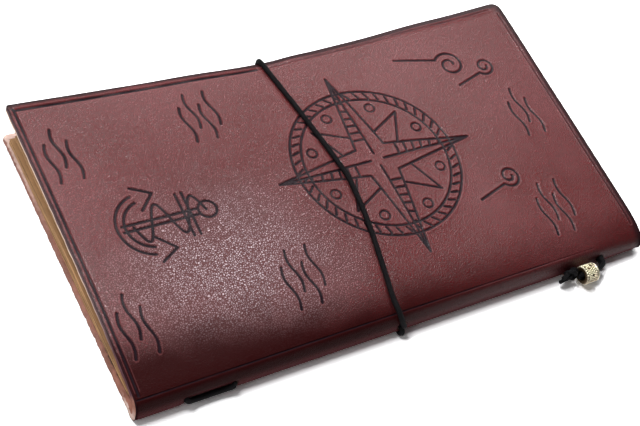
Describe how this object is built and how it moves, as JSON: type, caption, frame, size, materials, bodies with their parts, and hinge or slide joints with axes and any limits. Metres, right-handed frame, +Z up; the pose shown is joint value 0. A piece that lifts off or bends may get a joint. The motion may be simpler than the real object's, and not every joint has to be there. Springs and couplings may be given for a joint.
{
  "type": "leather journal",
  "caption": "Refillable journal: a tooled leather wrap folded round stitched paper booklets, held by a beaded binding cord and shut by an elastic loop.",
  "frame": {"origin": "middle of the whole closed journal on the surface that it lies on", "axes": "+X along the spine from tail to head, +Y from the spine to the fore edge, +Z up through the front cover"},
  "size_m": [0.22, 0.1338, 0.0196],
  "materials": {
    "leather": "pebbled, waxed top side, suede inside",
    "paper": "uncoated, cream",
    "elastic_cord": "braided, matt",
    "bead_brass": "granulated, worn bright"
  },
  "bodies": {
    "journal": {"back_cover_and_spine": "leather", "lower_booklet": "paper", "upper_booklet": "paper", "binding_elastic": "elastic_cord", "binding_knot": "elastic_cord", "bead": "bead_brass", "closure_elastic": "elastic_cord", "closure_knot": "elastic_cord"},
    "cover": {"front_cover": "leather"}
  },
  "joints": [
    {"name": "cover_hinge", "type": "hinge", "parent": "journal", "child": "cover", "pos_m": [0, -0.0562, 0.01], "axis": [1, 0, 0], "range_deg": [0, 178], "deforming": ["closure_elastic"]}
  ]
}
